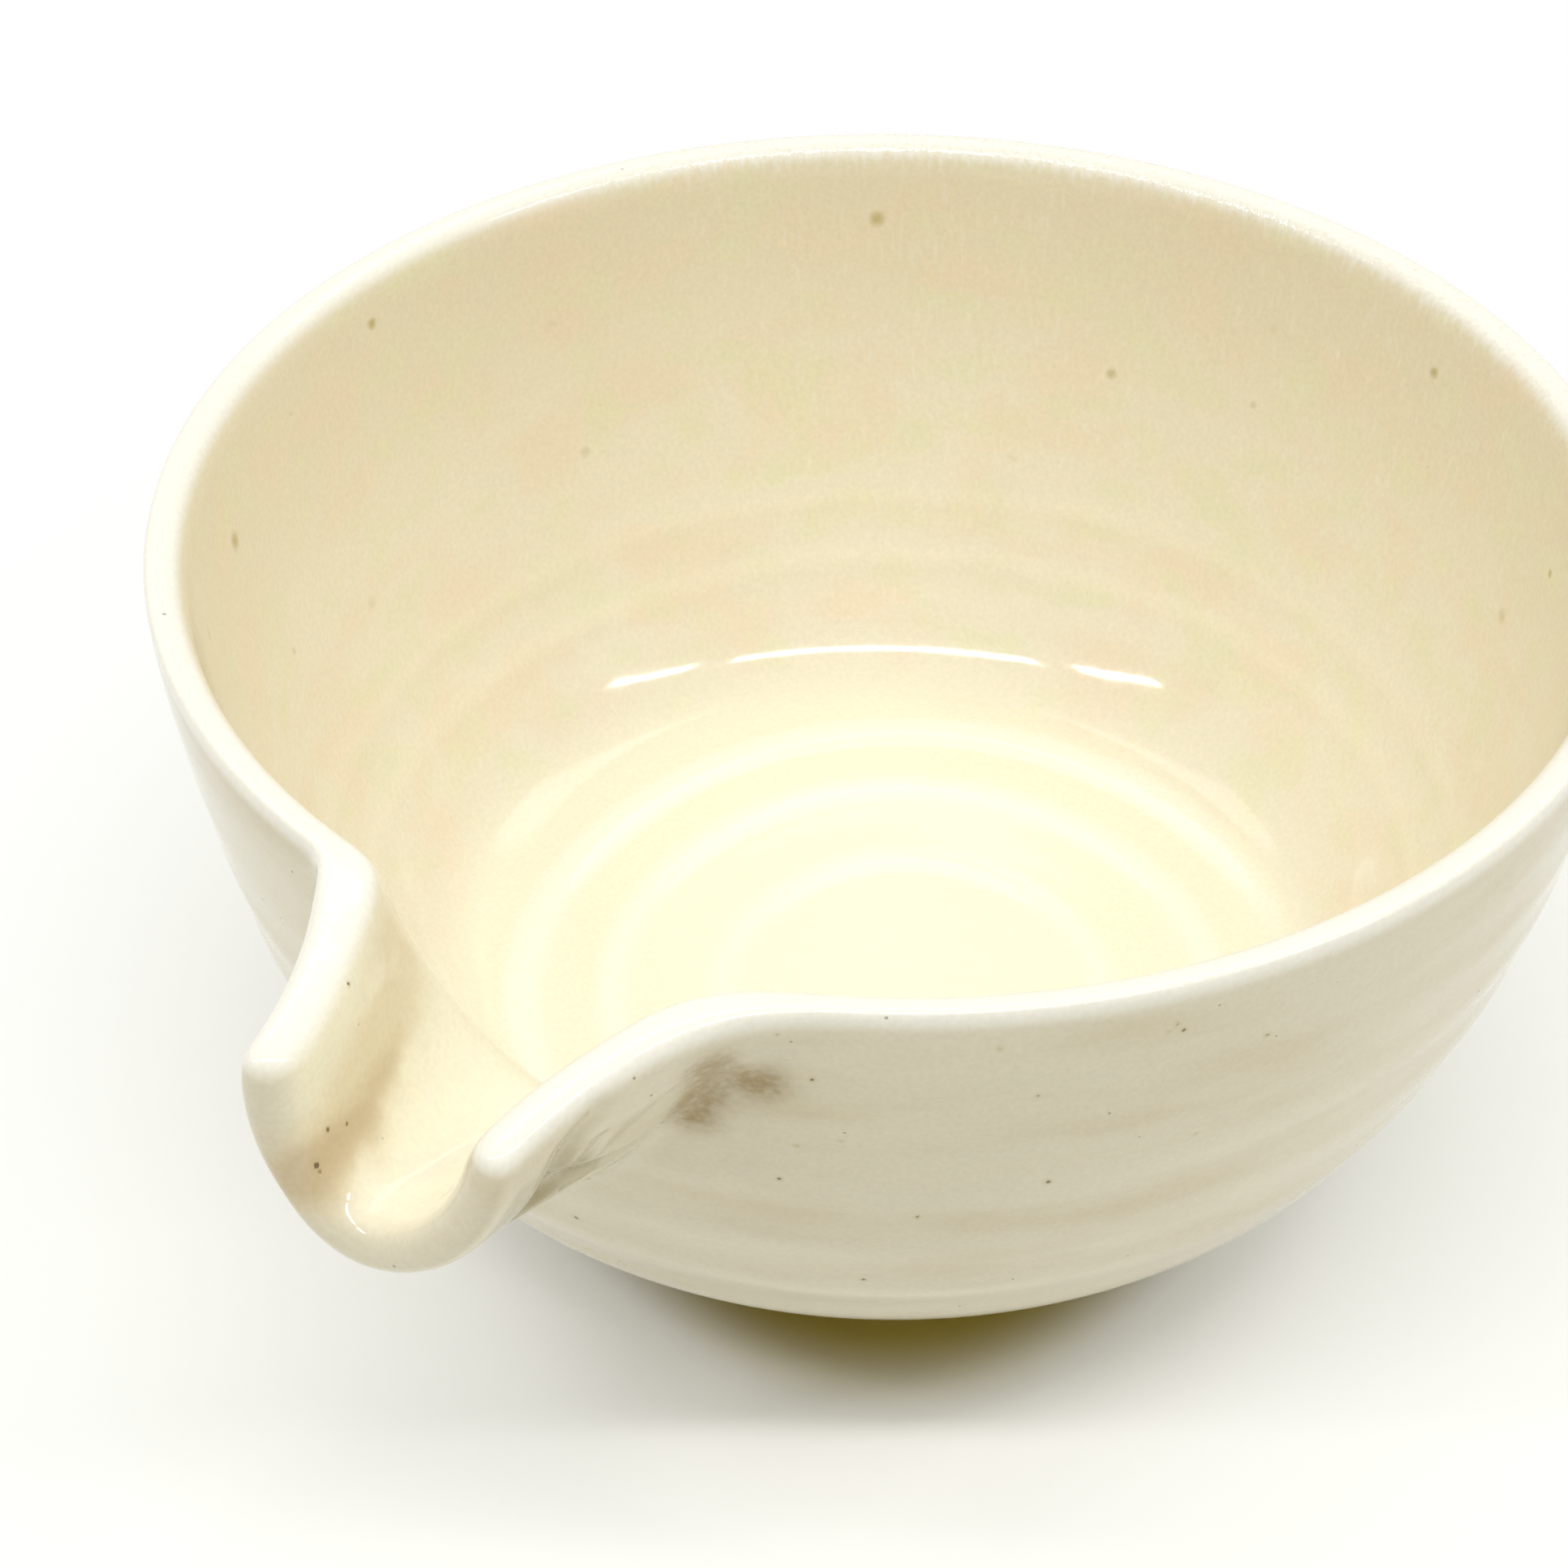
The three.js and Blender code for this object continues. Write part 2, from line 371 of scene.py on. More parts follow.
def readPoints(mesh):
    flat = np.empty(len(mesh.vertices) * 3)
    mesh.vertices.foreach_get("co", flat)
    return flat.reshape(-1, 3) / mm


def readPairs(mesh):
    flat = np.empty(len(mesh.edges) * 2, dtype=np.int32)
    mesh.edges.foreach_get("vertices", flat)
    return flat.reshape(-1, 2)


def writePoints(mesh, points):
    mesh.vertices.foreach_set("co", (points * mm).ravel())
    mesh.update()


# Where the kiln marked this bowl, in millimetres on its surface
marks = {
    "toastPath": (
        (-11, -61, 64.5), (-9.1, -65.5, 62.5), (-7.8, -70, 60.5), (-6.9, -76, 58.5), (-6.9, -80, 57.5),
    ),
    "toastWidth": 5.0,
    "stainPath": (
        (16.4, -59.5, 55.5), (17, -60, 57.8), (19.4, -60.5, 61.5),
        (20.1, -62, 65), (20.4, -60.5, 62.5), (22.7, -58.5, 61.4),
    ),
    "stainWidth": 2.9,
    "ironSpots": (  # middle, size
        ((51.9, -40.8, 66.5), 0.27), ((52.3, -40.2, 65.6), 0.24), ((51.4, -41.2, 65.8), 0.20),
        ((40.4, -50.4, 66.7), 0.27), ((26.8, -57.2, 62.6), 0.27), ((57.4, -33.6, 61.6), 0.24),
        ((24.7, -59.2, 68.6), 0.17), ((23.0, -56.0, 47.7), 0.24), ((43.2, -44.8, 47.0), 0.31),
        ((24.9, -56.4, 53.1), 0.24), ((28.5, -55.2, 54.3), 0.20), ((53.0, -36.1, 49.8), 0.20),
        ((33.4, -50.0, 42.4), 0.27), ((27.8, -49.0, 30.1), 0.27), ((42.9, -47.7, 60.0), 0.20),
        ((1.4, -55.4, 30.8), 0.27), ((-9.4, -70.1, 68.1), 0.20), ((-7.1, -77.9, 59.2), 0.24),
        ((-6.8, -75.9, 58.2), 0.20), ((-7.0, -80.1, 57.0), 0.31),
    ),
}

skin = {
    "voxel": 1.4,
    "swell": 2.6,  # enough to close the joint between the bowl and the spout
    "fineAbove": 66.5,
    "fineSpout": 62,
    "fineHalfWidth": 24,
    "fineSpoutAbove": 34,
    "creaseBox": ((4, -90, 46), (20, -58, 69)),
    "settling": (8, 2, 2, 3),
    "evening": 6,
    "fineEvening": 3,
    "insideBlend": (-2.5, 3.5),
    "edgeBlend": (-2.8, -0.4),
    "pourBlend": (58, 70),
    "floorMiddle": (0.0, 4.0),
    "floorEdge": (42.0, 50.0),
    "creaseShade": (1.7, 1.6),  # how much wider than the crease the painted shade spreads, and the crease depth at which it is full
    "guides": ("inside", "edge", "ridge", "ring", "pour", "floor", "toast", "crease", "stain"),
}


def newObject(name, mesh, slot, *replaced):
    piece = bpy.data.objects.new(name, mesh)
    bpy.context.scene.collection.objects.link(piece)
    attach(piece, "root")
    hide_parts(*replaced)
    return piece


# The two CAD solids, swollen to close the joint, melted into one even skin
def meltedSkin(names):
    lump = bmesh.new()
    for name in names:
        lump.from_mesh(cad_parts[name].data)
    bmesh.ops.remove_doubles(lump, verts=lump.verts, dist=0.002 * mm)
    lump.normal_update()
    for vert in lump.verts:
        vert.co += vert.normal * skin["swell"] * mm
    mesh = bpy.data.meshes.new("lump")
    lump.to_mesh(mesh)
    lump.free()
    holder = bpy.data.objects.new("lump", mesh)
    bpy.context.scene.collection.objects.link(holder)
    melt = holder.modifiers.new("melt", "REMESH")
    melt.mode = "VOXEL"
    melt.voxel_size = skin["voxel"] * mm
    dressed = holder.evaluated_get(bpy.context.evaluated_depsgraph_get())
    melted = bpy.data.meshes.new_from_object(dressed)
    bpy.data.objects.remove(holder)
    bpy.data.meshes.remove(mesh)
    return melted


def inFineZone(point):
    x, s, z = point.x / mm, axisY - point.y / mm, point.z / mm
    alongSpout = s > skin["fineSpout"] and abs(x) < skin["fineHalfWidth"] and z > skin["fineSpoutAbove"]
    return z > skin["fineAbove"] or alongSpout


def inCreaseZone(point):
    return all(low < c / mm < high for low, c, high in zip(skin["creaseBox"][0], point, skin["creaseBox"][1]))


def refined(mesh, zone):
    work = bmesh.new()
    work.from_mesh(mesh)
    fine = [e for e in work.edges if zone(e.verts[0].co) and zone(e.verts[1].co)]
    bmesh.ops.subdivide_edges(work, edges=fine, cuts=1, use_grid_fill=True)
    bmesh.ops.triangulate(work, faces=[f for f in work.faces if len(f.verts) > 4])
    work.to_mesh(mesh)
    work.free()


# Soft masks for the glaze and its painted light: how far inside, how near the rim, on a ridge or ring, in the
# spout, on the floor, in a crease (where shade is painted), and near the toasted patch or the stain
def paintGuides(mesh, points):
    body, hollow, top = clayParts(points)
    x, s, z = points[:, 0], axisY - points[:, 1], points[:, 2]
    middleX, middleS = skin["floorMiddle"]
    creaseSpread, creaseDepth = skin["creaseShade"]

    def nearPath(name):
        return np.exp(-(alongPath(points, marks[name + "Path"])[0] / marks[name + "Width"]) ** 2)

    guides = {
        "inside": rise(-body - hollow, *skin["insideBlend"]),
        "edge": rise(z - top, *skin["edgeBlend"]),
        "ridge": outsideRings(np.arctan2(x, s), z) / bowl["ridgeHeight"] + 1,
        "ring": insideRings(x, s, z) / bowl["floorRingHeight"],
        "pour": rise(s, *skin["pourBlend"]),
        "floor": 1 - rise(np.hypot(x - middleX, s - middleS), *skin["floorEdge"]),
        "toast": nearPath("toast"),
        "crease": np.minimum(creases(points, creaseSpread) / creaseDepth, 1),
        "stain": nearPath("stain"),
    }
    for name in skin["guides"]:
        data = mesh.attributes.new(name, "FLOAT", "POINT").data
        data.foreach_set("value", guides[name].astype(np.float32))


def glazedSkin():
    mesh = meltedSkin(("bowl", "spout"))
    first, second, third, last = skin["settling"]
    writePoints(mesh, evened(settle(readPoints(mesh), first), readPairs(mesh), skin["evening"]))
    refined(mesh, inFineZone)
    writePoints(mesh, settle(readPoints(mesh), second))
    refined(mesh, inCreaseZone)
    points = evened(settle(readPoints(mesh), third), readPairs(mesh), skin["fineEvening"])
    points = settle(points, last)
    writePoints(mesh, points)
    print("surface error mm", float(np.abs(clay(points)).max()))
    slopes = slopeOf(points)
    slopes /= np.linalg.norm(slopes, axis=1)[:, None]
    facing = np.empty(len(mesh.vertices) * 3)
    mesh.vertices.foreach_get("normal", facing)
    print("vertices facing another way", int(((facing.reshape(-1, 3) * slopes).sum(axis=1) < 0.5).sum()))
    mesh.shade_smooth()
    mesh.normals_split_custom_set_from_vertices([tuple(n) for n in slopes])
    paintGuides(mesh, points)
    mesh.name = "glazed_bowl"
    return mesh


print("bowl and spout")
glazedBowl = newObject("glazed_bowl", glazedSkin(), "glaze", "bowl", "spout")
print("triangles", sum(len(p.vertices) - 2 for p in glazedBowl.data.polygons))


foot = {"wall": 6, "taper": 0.8, "edge": 0.9, "edgeSteps": 4, "sunk": 1.2, "turns": 160, "sharpAngle": 35}


def footRing():
    outer = footBox[1][0]
    inner = outer - foot["wall"]
    top = bowl["seat"] + foot["sunk"]  # reaches into the glazed skin, so that the two meet
    corners = [(inner, top), (inner + foot["taper"], 0), (outer - foot["taper"], 0), (outer, top)]
    work = bmesh.new()
    verts = [work.verts.new((r * mm, 0, z * mm)) for r, z in corners]
    work.faces.new(verts)
    bmesh.ops.bevel(work, geom=verts[1:3], offset=foot["edge"] * mm, offset_type="OFFSET", affect="VERTICES",
                    segments=foot["edgeSteps"], profile=0.5, material=-1)
    loop = list(work.edges)
    bmesh.ops.delete(work, geom=list(work.faces), context="FACES_ONLY")
    bmesh.ops.spin(work, geom=loop, cent=(0, 0, 0), axis=(0, 0, 1), angle=2 * math.pi, steps=foot["turns"],
                   use_merge=True, use_duplicate=False)
    bmesh.ops.remove_doubles(work, verts=work.verts, dist=0.01 * mm)
    bmesh.ops.recalc_face_normals(work, faces=work.faces)
    bmesh.ops.translate(work, verts=work.verts, vec=(0, axisY * mm, 0))
    mesh = bpy.data.meshes.new("foot_ring_bare")
    work.to_mesh(mesh)
    work.free()
    mesh.shade_smooth()
    mesh.set_sharp_from_angle(angle=math.radians(foot["sharpAngle"]))
    return mesh


print("foot ring")
footPiece = newObject("foot_ring_bare", footRing(), "bare_clay", "foot_ring")


def newMaterial(name):
    material = bpy.data.materials.new(name)
    material.use_nodes = True
    tree = material.node_tree
    tree.nodes.clear()
    return material, tree


softRise = {"interpolation_type": "SMOOTHSTEP"}


# Lays a coat over what is under it, a colour or an output, as far as the mask goes:
# a coat is its colour, the mask's values where it starts and where it is full, and its strength
def coated(tree, under, coat, mask):
    colour, start, full, strength = coat
    share = addNode(tree, "ShaderNodeMapRange",
                    {**softRise, "From Min": start, "From Max": full, "To Max": strength}, {"Value": mask})
    settings, links = {"data_type": "RGBA", 7: toLinear(colour)}, {0: share}
    if isinstance(under, str):
        settings[6] = toLinear(under)
    else:
        links[6] = under
    return addNode(tree, "ShaderNodeMix", settings, links).outputs[2]


# Small dots in some of the cells of a grid: spacing and size in millimetres, the share of cells, softness
def flecks(tree, place, spacing, size, share, softness):
    cells = addNode(tree, "ShaderNodeTexVoronoi", {"Scale": 1 / (spacing * mm)}, {"Vector": place})
    draw = addNode(tree, "ShaderNodeSeparateColor", None, {0: cells.outputs["Color"]})
    reach = addNode(tree, "ShaderNodeMath", {"operation": "MULTIPLY", 1: size / spacing},
                    {0: draw.outputs[1]})
    away = addNode(tree, "ShaderNodeMath", {"operation": "DIVIDE"}, {0: cells, 1: reach})
    chosen = addNode(tree, "ShaderNodeMath", {"operation": "LESS_THAN", 1: share}, {0: draw})
    dots = addNode(tree, "ShaderNodeMapRange", {**softRise, "From Min": 1.0, "From Max": 1.0 - softness},
                   {"Value": away})
    return addNode(tree, "ShaderNodeMath", {"operation": "MULTIPLY"}, {0: dots, 1: chosen})


glaze = {
    "outside": "#d7cfb4",
    "inside": "#e6dcbf",
    # the paler floor and trough colour: partly pooled glaze, partly painted light where the floor faces the
    # lamps
    "floor": "#f0ead0",
    "underSpeck": "#bfae74",
    "coats": {  # colour, where the mask starts and is full, strength
        "warmth": ("#ccbe9c", 0.42, 0.75, 0.7),
        # lighter on the outside ridges: partly glaze thinning over them, partly painted highlight
        "ridge": ("#e2dcc8", 0.2, 1.0, 0.6),
        "lowerInside": ("#e9e1c8", 62, 40, 1.0),
        "pink": ("#ecd8ba", 0.46, 0.66, 0.5),
        "green": ("#e4e0bb", 0.48, 0.66, 0.6),
        # lighter on the inside wall and floor rings: partly glaze thinning over them, partly painted
        # highlight
        "wallRing": ("#f3ebd0", 0.15, 0.6, 0.4),
        "floorRing": ("#f8f3e4", 0.1, 1.0, 0.6),
        "edge": ("#f1eee1", 0.0, 1.0, 0.85),
        "toast": ("#cbb07c", 0.0, 0.9, 0.42),
        "toastDeep": ("#a98a58", 0.2, 1.0, 0.5),
        "stain": ("#8e701a", 0.0, 1.0, 0.85),
        # darker in and around the drag creases: partly glaze pooled there, partly painted shade
        "crease": ("#a3966a", 0.05, 0.9, 0.85),
        "speck": ("#5c4220", 0.0, 1.0, 0.55),
        "spotHalo": ("#bfae74", 2.6, 0.9, 0.35),
        "spot": ("#5c4220", 1.1, 0.5, 0.85),
    },
    "clouds": {  # size in millimetres, detail, stretch
        "warmth": (26, 4.0, (1, 1, 4)),
        "pink": (13, 5.0, (1, 1, 1.6)),
        "green": (8, 6.0, (1, 1, 1.6)),
        "streaks": (0.7, 2.0, (1, 1, 0.15)),
        "toast": (6, 2.0, (1, 1, 1)),
        "stain": (0.8, 6.0, (1, 1, 1)),
        "grain": (0.55, 2.0, (1, 1, 1)),
        "skin": (4.5, 2.0, (1, 1, 1)),
        "rough": (1.6, 4.0, (1, 1, 1)),
    },
    "cloudRange": (0.3, 0.7),  # where most of a cloud's values lie
    "underSpecks": (7, 1.5, 0.5, 0.9),  # spacing, size, share of cells, softness
    "underSpeckClimb": (20, 60, 0.9),  # heights where they start and are full, strength
    "ironSpecks": (1.7, 0.22, 0.12, 0.1),
    "stirSize": 0.5,
    "stirReach": 0.3,
    # how far back the painted highlight streaks on the rim start and are full, in millimetres
    "farSide": (30, 65),
    "streakReach": 1.6,
    "toastCloud": (0.05, 0.6),
    "toastDrop": (63, 57),
    "stainFaint": 0.6,
    "grainValue": (0.97, 1.03),
    "skinBump": (0.12, 0.12),  # strength, millimetres
    "streakBump": (0.6, 0.25),
    "roughness": (0.06, 0.13),
    "refraction": 1.52,
}


def creamGlaze():
    # Feldspar glaze dipped over iron-speckled stoneware: glossy and milky, with soft clouding, iron specks
    # that bled through, a thin pale edge with painted highlight streaks on the far side, a toasted patch
    # where it ran thin, painted shade in the drag creases, and painted highlight and light on the ridges,
    # rings and floor
    material, tree = newMaterial("cream_feldspar_glaze")
    place = addNode(tree, "ShaderNodeTexCoord").outputs["Object"]
    parts = addNode(tree, "ShaderNodeSeparateXYZ", None, {0: place}).outputs
    height = addNode(tree, "ShaderNodeMath", {"operation": "DIVIDE", 1: mm}, {0: parts["Z"]})
    back = addNode(tree, "ShaderNodeMath", {"operation": "DIVIDE", 1: mm}, {0: parts["Y"]})
    guide = {name: addNode(tree, "ShaderNodeAttribute", {"attribute_name": name}).outputs["Fac"]
             for name in skin["guides"]}
    cloud = {}
    for name, (size, detail, stretch) in glaze["clouds"].items():
        spread = addNode(tree, "ShaderNodeMapping", {"Scale": stretch}, {"Vector": place})
        cloud[name] = addNode(tree, "ShaderNodeTexNoise", {"Scale": 1 / (size * mm), "Detail": detail},
                              {"Vector": spread})
    cloudLow, cloudHigh = glaze["cloudRange"]
    cloudy = {"From Min": cloudLow, "From Max": cloudHigh}
    coats = glaze["coats"]

    colour = coated(tree, glaze["outside"], coats["warmth"], cloud["warmth"])
    # Lighter on the outside ridges: partly glaze thinning over them, partly painted highlight
    colour = coated(tree, colour, coats["ridge"], guide["ridge"])

    inner = coated(tree, glaze["inside"], coats["lowerInside"], height)
    inner = coated(tree, inner, coats["pink"], cloud["pink"])
    inner = coated(tree, inner, coats["green"], cloud["green"])
    # Lighter on the wall and floor rings: partly glaze thinning over them, partly painted highlight
    inner = coated(tree, inner, coats["wallRing"], guide["ring"])
    floor = coated(tree, glaze["floor"], coats["floorRing"], guide["ring"])
    # The floor and the trough take the paler floor colour: partly pooled glaze, partly painted light where
    # the floor faces the lamps
    paleFloorAndTrough = addNode(tree, "ShaderNodeMath", {"operation": "MAXIMUM"}, {0: guide["floor"], 1: guide["pour"]})
    inner = addNode(tree, "ShaderNodeMix", {"data_type": "RGBA"}, {0: paleFloorAndTrough, 6: inner, 7: floor}).outputs[2]

    # Dots and spots keep their places but get wobbly outlines
    stir = addNode(tree, "ShaderNodeTexNoise", {"Scale": 1 / (glaze["stirSize"] * mm)}, {"Vector": place})
    stirReach = glaze["stirReach"] * mm
    wobbly = addNode(tree, "ShaderNodeVectorMath", {"operation": "MULTIPLY_ADD", 1: (stirReach,) * 3},
                     {0: stir.outputs["Color"], 2: place})
    climbLow, climbHigh, climbMost = glaze["underSpeckClimb"]
    climb = addNode(tree, "ShaderNodeMapRange",
                    {**softRise, "From Min": climbLow, "From Max": climbHigh, "To Max": climbMost},
                    {"Value": height})
    dim = addNode(tree, "ShaderNodeMath", {"operation": "MULTIPLY"},
                  {0: flecks(tree, wobbly, *glaze["underSpecks"]), 1: climb})
    inner = addNode(tree, "ShaderNodeMix", {"data_type": "RGBA", 7: toLinear(glaze["underSpeck"])},
                    {0: dim, 6: inner}).outputs[2]
    colour = addNode(tree, "ShaderNodeMix", {"data_type": "RGBA"},
                     {0: guide["inside"], 6: colour, 7: inner}).outputs[2]

    # On the far side the pale edge breaks into streaks: painted highlight streaks on the far rim, with the
    # same streaks in the bump
    farLow, farHigh = glaze["farSide"]
    farSide = addNode(tree, "ShaderNodeMapRange", {**softRise, "From Min": farLow, "From Max": farHigh},
                      {"Value": back})
    level = addNode(tree, "ShaderNodeMath", {"operation": "SUBTRACT", 1: 0.5}, {0: cloud["streaks"]})
    streaks = addNode(tree, "ShaderNodeMath", {"operation": "MULTIPLY"}, {0: level, 1: farSide})
    paleEdgeAndPaintedStreaks = addNode(tree, "ShaderNodeMath", {"operation": "MULTIPLY_ADD", 1: glaze["streakReach"]},
                     {0: streaks, 2: guide["edge"]})
    colour = coated(tree, colour, coats["edge"], paleEdgeAndPaintedStreaks)

    thinLow, thinHigh = glaze["toastCloud"]
    thin = addNode(tree, "ShaderNodeMapRange", {**softRise, "From Min": thinLow, "From Max": thinHigh},
                   {"Value": cloud["toast"]})
    toast = addNode(tree, "ShaderNodeMath", {"operation": "MULTIPLY"}, {0: guide["toast"], 1: thin})
    colour = coated(tree, colour, coats["toast"], toast)
    dropHigh, dropLow = glaze["toastDrop"]
    drop = addNode(tree, "ShaderNodeMapRange", {**softRise, "From Min": dropHigh, "From Max": dropLow},
                   {"Value": height})
    deep = addNode(tree, "ShaderNodeMath", {"operation": "MULTIPLY"}, {0: toast, 1: drop})
    colour = coated(tree, colour, coats["toastDeep"], deep)
    mottled = addNode(tree, "ShaderNodeMapRange", {**cloudy, "To Min": glaze["stainFaint"]},
                      {"Value": cloud["stain"]})
    stain = addNode(tree, "ShaderNodeMath", {"operation": "MULTIPLY"}, {0: guide["stain"], 1: mottled})
    colour = coated(tree, colour, coats["stain"], stain)
    # Darker in and around the drag creases: partly glaze pooled there, partly painted shade
    colour = coated(tree, colour, coats["crease"], guide["crease"])

    outer = addNode(tree, "ShaderNodeMath", {"operation": "SUBTRACT", 0: 1.0}, {1: guide["inside"]})
    speckled = addNode(tree, "ShaderNodeMath", {"operation": "ADD", "use_clamp": True},
                       {0: outer, 1: guide["toast"]})
    iron = addNode(tree, "ShaderNodeMath", {"operation": "MULTIPLY"},
                   {0: flecks(tree, wobbly, *glaze["ironSpecks"]), 1: speckled})
    colour = coated(tree, colour, coats["speck"], iron)
    nearest = None
    for middle, size in marks["ironSpots"]:
        stirred = [c * mm + stirReach / 2 for c in middle]
        away = addNode(tree, "ShaderNodeVectorMath", {"operation": "DISTANCE", 1: stirred}, {0: wobbly})
        spot = addNode(tree, "ShaderNodeMath", {"operation": "DIVIDE", 1: size * mm},
                       {0: away.outputs["Value"]})
        if nearest:
            spot = addNode(tree, "ShaderNodeMath", {"operation": "MINIMUM"}, {0: nearest, 1: spot})
        nearest = spot
    colour = coated(tree, colour, coats["spotHalo"], nearest)
    colour = coated(tree, colour, coats["spot"], nearest)
    grainLow, grainHigh = glaze["grainValue"]
    grain = addNode(tree, "ShaderNodeMapRange", {**cloudy, "To Min": grainLow, "To Max": grainHigh},
                    {"Value": cloud["grain"]})
    colour = addNode(tree, "ShaderNodeHueSaturation", None, {"Color": colour, "Value": grain})

    skinStrength, skinDepth = glaze["skinBump"]
    swell = addNode(tree, "ShaderNodeMath", {"operation": "MULTIPLY"}, {0: cloud["skin"], 1: guide["inside"]})
    uneven = addNode(tree, "ShaderNodeBump", {"Strength": skinStrength, "Distance": skinDepth * mm},
                     {"Height": swell})
    streakStrength, streakDepth = glaze["streakBump"]
    drips = addNode(tree, "ShaderNodeMath", {"operation": "MULTIPLY"}, {0: streaks, 1: guide["edge"]})
    bump = addNode(tree, "ShaderNodeBump", {"Strength": streakStrength, "Distance": streakDepth * mm},
                   {"Height": drips, "Normal": uneven})
    smooth, dull = glaze["roughness"]
    rough = addNode(tree, "ShaderNodeMapRange", {**cloudy, "To Min": smooth, "To Max": dull},
                    {"Value": cloud["rough"]})
    shader = addNode(tree, "ShaderNodeBsdfPrincipled", {"IOR": glaze["refraction"]},
                     {"Base Color": colour, "Roughness": rough, "Normal": bump})
    addNode(tree, "ShaderNodeOutputMaterial", None, {"Surface": shader})
    return material


bareClay = {
    "light": "#cdb591",
    "dark": "#b99c74",
    "gritScale": 900.0,  # a grain in about each millimetre
    "gritBump": (0.4, 0.3),  # strength, millimetres
    "roughness": 0.85,
}


def bareStoneware():
    # Unglazed fired stoneware, turned and wiped: matt and sandy
    material, tree = newMaterial("bare_stoneware")
    place = addNode(tree, "ShaderNodeTexCoord").outputs["Object"]
    grit = addNode(tree, "ShaderNodeTexNoise", {"Scale": bareClay["gritScale"], "Detail": 4.0},
                   {"Vector": place})
    light, dark = toLinear(bareClay["light"]), toLinear(bareClay["dark"])
    tint = addNode(tree, "ShaderNodeMix", {"data_type": "RGBA", 6: light, 7: dark}, {0: grit})
    strength, depth = bareClay["gritBump"]
    bump = addNode(tree, "ShaderNodeBump", {"Strength": strength, "Distance": depth * mm}, {"Height": grit})
    shader = addNode(tree, "ShaderNodeBsdfPrincipled", {"Roughness": bareClay["roughness"]},
                     {"Base Color": tint.outputs[2], "Normal": bump})
    addNode(tree, "ShaderNodeOutputMaterial", None, {"Surface": shader})
    return material


glazedBowl.data.materials.append(creamGlaze())
footPiece.data.materials.append(bareStoneware())


studio = {
    "tableSize": 6.0,
    "skyTop": 0.68,
    "skySide": 0.6,
    "skyLift": (0.05, 1.0),
    "skyDark": (0.45, 1.0, 0.42),  # how far round the dark side starts and is full, strength
    "skyDarkClimb": 32.0,
    "skyRight": 0.12,
    "stripParts": ((0.0, 0.8, 1.0), (-0.82, 0.5, 1.2), (0.82, 0.5, 0.9)),  # place, length, brightness
    "stripWidth": 0.07,
    "stripHeight": 0.95,
    "stripLean": 0.29,
    "stripPower": 80.0,  # watts for each square metre
    "backReach": 1.0,
    "backRise": 56.0,
    "backSize": (1.1, 0.22),
    "backPower": 4.5,
    "tableCentre": 10.0,  # how far towards the camera the table's painted shadow and glow are centred, in millimetres
    "tableStretch": 1.3,
    "shadow": ("#bcab55", "#f8f8f4", 35.0, 48.0),  # painted olive shadow under the bowl and the paper beyond it, radii between them
    "glow": ("#f9faf4", "#ffffff", 75.0, 190.0),
    "haze": (36.0, 68.0, 0.4),  # painted glow that lightens the shade near the bowl for seen rays: radii where it starts and is full, strength
}

camera = {
    "place": (0.111187, -0.216212, 0.247022),
    "right": (0.878845, 0.477096, -0.003135),
    "up": (-0.306281, 0.569205, 0.763019),
    "forward": (-0.365818, 0.669616, -0.646369),
    "lens": 72.0,
    "sensor": 36,
    "clip": (0.01, 50),
}

toCamera = Vector((-camera["forward"][0], -camera["forward"][1], 0)).normalized()
across = Vector((0, 0, 1)).cross(toCamera)


def seenRays(tree):
    path = addNode(tree, "ShaderNodeLightPath").outputs
    seen = addNode(tree, "ShaderNodeMath", {"operation": "MAXIMUM"},
                   {0: path["Is Camera Ray"], 1: path["Is Transmission Ray"]})
    return addNode(tree, "ShaderNodeMath", {"operation": "MAXIMUM"}, {0: seen, 1: path["Is Glossy Ray"]})


